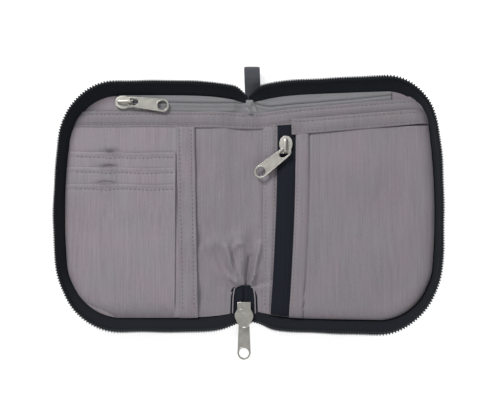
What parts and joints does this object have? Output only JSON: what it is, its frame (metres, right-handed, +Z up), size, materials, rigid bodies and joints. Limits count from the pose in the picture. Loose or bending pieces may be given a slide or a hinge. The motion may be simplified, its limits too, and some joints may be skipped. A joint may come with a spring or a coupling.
{
  "type": "passport holder",
  "caption": "Zip-round travel wallet lying open, with card slots, slip pockets, a full-width zip pocket and an upright zip pocket.",
  "frame": {"origin": "middle of the spine's underside, on the table the holder lies open on", "axes": "+X from the left cover to the right one, across the spine; +Y along the spine towards the webbing loop; +Z up, out of the pockets' side"},
  "size_m": [0.216, 0.1686, 0.0294],
  "materials": {
    "outer_fabric": "coated woven polyester",
    "padding": "foam sheet, sealed inside the covers",
    "lining_fabric": "fine ribbed taffeta lining",
    "black_tape": "woven zip tape",
    "grey_tape": "woven zip tape",
    "black_coil": "nylon coil",
    "grey_coil": "nylon coil",
    "webbing": "ribbed webbing",
    "zip_metal": "satin nickel plating"
  },
  "bodies": {
    "spine": {"spine_shell": "outer_fabric", "spine_padding": "padding", "spine_lining": "lining_fabric", "spine_wide_pocket_front": "lining_fabric", "spine_wide_pocket_band": "lining_fabric", "spine_pocket_zip_tape": "grey_tape", "spine_pocket_zip_coil": "grey_coil", "main_end_tape_left": "black_tape", "main_end_tape_right": "black_tape", "main_end_coil_left": "black_coil", "main_end_coil_right": "black_coil", "webbing_loop": "webbing", "main_slider": "zip_metal"},
    "left_cover": {"left_cover_shell": "outer_fabric", "left_cover_padding": "padding", "left_lining": "lining_fabric", "left_main_zip_tape": "black_tape", "left_main_zip_coil": "black_coil", "left_pocket_zip_tape_lower": "grey_tape", "left_pocket_zip_coil_lower": "grey_coil", "left_pocket_zip_coil_upper": "grey_coil", "left_pocket_zip_tape_upper": "grey_tape", "left_zip_pocket_front": "lining_fabric", "left_wide_pocket_front": "lining_fabric", "left_wide_pocket_band": "lining_fabric", "slip_pocket_front": "lining_fabric", "slip_pocket_band": "lining_fabric", "card_slot_1": "lining_fabric", "card_slot_2": "lining_fabric", "card_slot_3": "lining_fabric"},
    "right_cover": {"right_cover_shell": "outer_fabric", "right_cover_padding": "padding", "right_lining": "lining_fabric", "right_main_zip_tape": "black_tape", "right_main_zip_coil": "black_coil", "right_pocket_zip_tape_lower": "grey_tape", "right_pocket_zip_coil_lower": "grey_coil", "right_pocket_zip_coil_upper": "grey_coil", "right_pocket_zip_tape_upper": "grey_tape", "right_zip_pocket_front": "lining_fabric", "right_wide_pocket_front": "lining_fabric", "right_wide_pocket_band": "lining_fabric", "stash_pocket_back": "lining_fabric", "stash_zip_tape_inner": "black_tape", "stash_zip_tape_outer": "black_tape", "stash_zip_coil_inner": "black_coil", "stash_zip_coil_outer": "black_coil", "stash_pocket_inner_hem": "lining_fabric", "stash_pocket_front": "lining_fabric", "stash_pocket_band": "lining_fabric"},
    "pocket_slider": {"pocket_slider": "zip_metal"},
    "pocket_pull": {"pocket_pull": "zip_metal"},
    "stash_slider": {"stash_slider": "zip_metal"},
    "stash_pull": {"stash_pull": "zip_metal"},
    "main_pull": {"main_pull": "zip_metal"}
  },
  "joints": [
    {"name": "left_fold", "type": "hinge", "parent": "spine", "child": "left_cover", "pos_m": [-0.011, 0, 0.002], "axis": [0, 1, 0], "range_deg": [0, 90]},
    {"name": "right_fold", "type": "hinge", "parent": "spine", "child": "right_cover", "pos_m": [0.011, 0, 0.002], "axis": [0, -1, 0], "range_deg": [0, 80]},
    {"name": "pocket_zip_run", "type": "slide", "parent": "left_cover", "child": "pocket_slider", "axis": [-1, 0, 0], "range_m": [-0.05, 0]},
    {"name": "pocket_pull_lift", "type": "hinge", "parent": "pocket_slider", "child": "pocket_pull", "pos_m": [-0.06831, 0.05975, 0.00775], "axis": [0.1045, 0.9945, 0], "range_deg": [-150, 0]},
    {"name": "stash_zip_run", "type": "slide", "parent": "right_cover", "child": "stash_slider", "axis": [0.039, 0.9992, 0.0069], "range_m": [-0.068, 0]},
    {"name": "stash_pull_turn", "type": "hinge", "parent": "stash_slider", "child": "stash_pull", "pos_m": [0.02122, 0.02988, 0.01147], "axis": [-0.1736, 0, 0.9848], "range_deg": [-4, 56]},
    {"name": "main_pull_lift", "type": "hinge", "parent": "spine", "child": "main_pull", "pos_m": [-0.0022, -0.06463, 0.00225], "axis": [-1, 0, 0], "range_deg": [-150, 0]}
  ],
  "couplings": [
    {"joint": "stash_pull_turn", "follows": "right_fold", "ratio": 0.6375}
  ]
}
